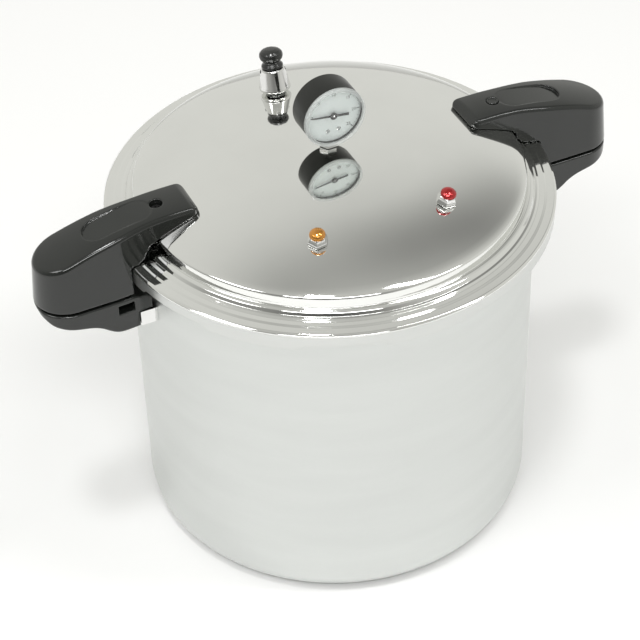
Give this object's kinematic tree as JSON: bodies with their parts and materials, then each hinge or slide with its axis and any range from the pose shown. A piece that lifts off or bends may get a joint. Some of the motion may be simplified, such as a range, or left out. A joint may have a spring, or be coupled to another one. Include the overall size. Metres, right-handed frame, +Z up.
{
  "type": "pressure canner",
  "caption": "Tall straight aluminium pressure canner with a domed locking lid, side handles, dial gauge, weighted regulator and safety fittings.",
  "frame": {"origin": "centre of the pot's flat underside", "axes": "+Z up, +X out along one pair of side handles, -Y the front, which the gauge faces"},
  "size_m": [0.4924, 0.353, 0.3925],
  "materials": {
    "satin_aluminium": "satin drawn aluminium",
    "polished_aluminium": "mirror polished on the dome and rim",
    "polished_steel": "polished",
    "steel": "fine turned",
    "brass": "turned",
    "phenolic": "moulded phenolic, semi-gloss",
    "black_case": "satin black",
    "black_knob": "moulded, semi-gloss",
    "gasket_rubber": "moulded rubber",
    "silicone": "moulded silicone",
    "dial_white": "printed, matte",
    "pointer_black": "matte",
    "clear_lens": "clear",
    "red_cap": "lacquered metal",
    "orange_cap": "lacquered metal"
  },
  "bodies": {
    "pot": {"pot_body": "satin_aluminium", "pot_handle_bracket_right": "polished_steel", "pot_handle_bracket_left": "polished_steel", "pot_handle_right": "phenolic", "pot_handle_left": "phenolic", "pot_handle_screw_right": "steel", "pot_handle_screw_left": "steel", "bracket_rivet_right_front": "satin_aluminium", "bracket_rivet_right_rear": "satin_aluminium", "bracket_rivet_left_front": "satin_aluminium", "bracket_rivet_left_rear": "satin_aluminium"},
    "rack": {"canning_rack": "satin_aluminium"},
    "gasket": {"lid_gasket": "gasket_rubber"},
    "lid": {"lid_shell": "polished_aluminium", "lid_handle_right": "phenolic", "lid_handle_left": "phenolic", "lid_handle_stud_right": "steel", "lid_handle_stud_left": "steel", "lid_handle_screw_right": "steel", "lid_handle_screw_left": "steel", "lid_handle_plug": "phenolic", "vent_pipe": "steel", "vent_pipe_nut": "steel", "indicator_housing": "polished_steel", "indicator_nut": "steel", "safety_valve_housing": "polished_steel", "safety_valve_nut": "steel", "safety_valve_spring": "steel", "gauge_case": "black_case", "gauge_lens": "clear_lens", "gauge_dial": "dial_white", "gauge_dial_screw_1": "steel", "gauge_dial_screw_2": "steel", "bourdon_tube": "brass", "gauge_movement_plate": "brass", "gauge_socket": "brass", "gauge_nut": "steel"},
    "regulator_insert": {"regulator_insert": "steel"},
    "regulator": {"regulator_weight": "polished_steel", "regulator_knob": "black_knob"},
    "indicator": {"indicator_pin": "red_cap", "indicator_clip": "steel", "indicator_seal": "silicone"},
    "safety_valve": {"safety_valve_pin": "orange_cap", "safety_valve_clip": "steel"},
    "gauge_sector": {"gauge_sector_gear": "brass"},
    "gauge_pointer": {"gauge_pointer": "pointer_black", "gauge_arbor": "brass"}
  },
  "joints": [
    {"name": "rack_lift", "type": "slide", "parent": "pot", "child": "rack", "axis": [0, 0, 1], "range_m": [0, 0.2]},
    {"name": "lid_lift", "type": "slide", "parent": "pot", "child": "gasket", "axis": [0, 0, 1], "range_m": [0, 0.3]},
    {"name": "lid_turn", "type": "hinge", "parent": "gasket", "child": "lid", "pos_m": [0, 0, 0.29], "axis": [0, 0, 1], "range_deg": [0, 22.5]},
    {"name": "regulator_lift", "type": "slide", "parent": "lid", "child": "regulator_insert", "axis": [-0.0049, 0.1852, 0.9827], "range_m": [0, 0.045]},
    {"name": "regulator_spin", "type": "hinge", "parent": "regulator_insert", "child": "regulator", "pos_m": [-0.00243, 0.09297, 0.32666], "axis": [-0.0049, 0.1852, 0.9827], "continuous": true},
    {"name": "indicator_rise", "type": "slide", "parent": "lid", "child": "indicator", "axis": [0.1155, -0.205, 0.9719], "range_m": [0, 0.005]},
    {"name": "safety_valve_rise", "type": "slide", "parent": "lid", "child": "safety_valve", "axis": [-0.1173, -0.2039, 0.9719], "range_m": [0, 0.003], "stiffness_N_per_m": 800, "springref_m": -0.003, "deforming": ["safety_valve_spring"]},
    {"name": "gauge_sector_turn", "type": "hinge", "parent": "lid", "child": "gauge_sector", "pos_m": [-0.01052, 0, 0.35658], "axis": [0, -1, 0], "range_deg": [0, 28.8]},
    {"name": "gauge_pointer_turn", "type": "hinge", "parent": "lid", "child": "gauge_pointer", "pos_m": [0, 0, 0.3671], "axis": [0, 1, 0], "range_deg": [0, 217]}
  ],
  "couplings": [
    {"joint": "gauge_pointer_turn", "follows": "gauge_sector_turn", "ratio": 7.5}
  ]
}
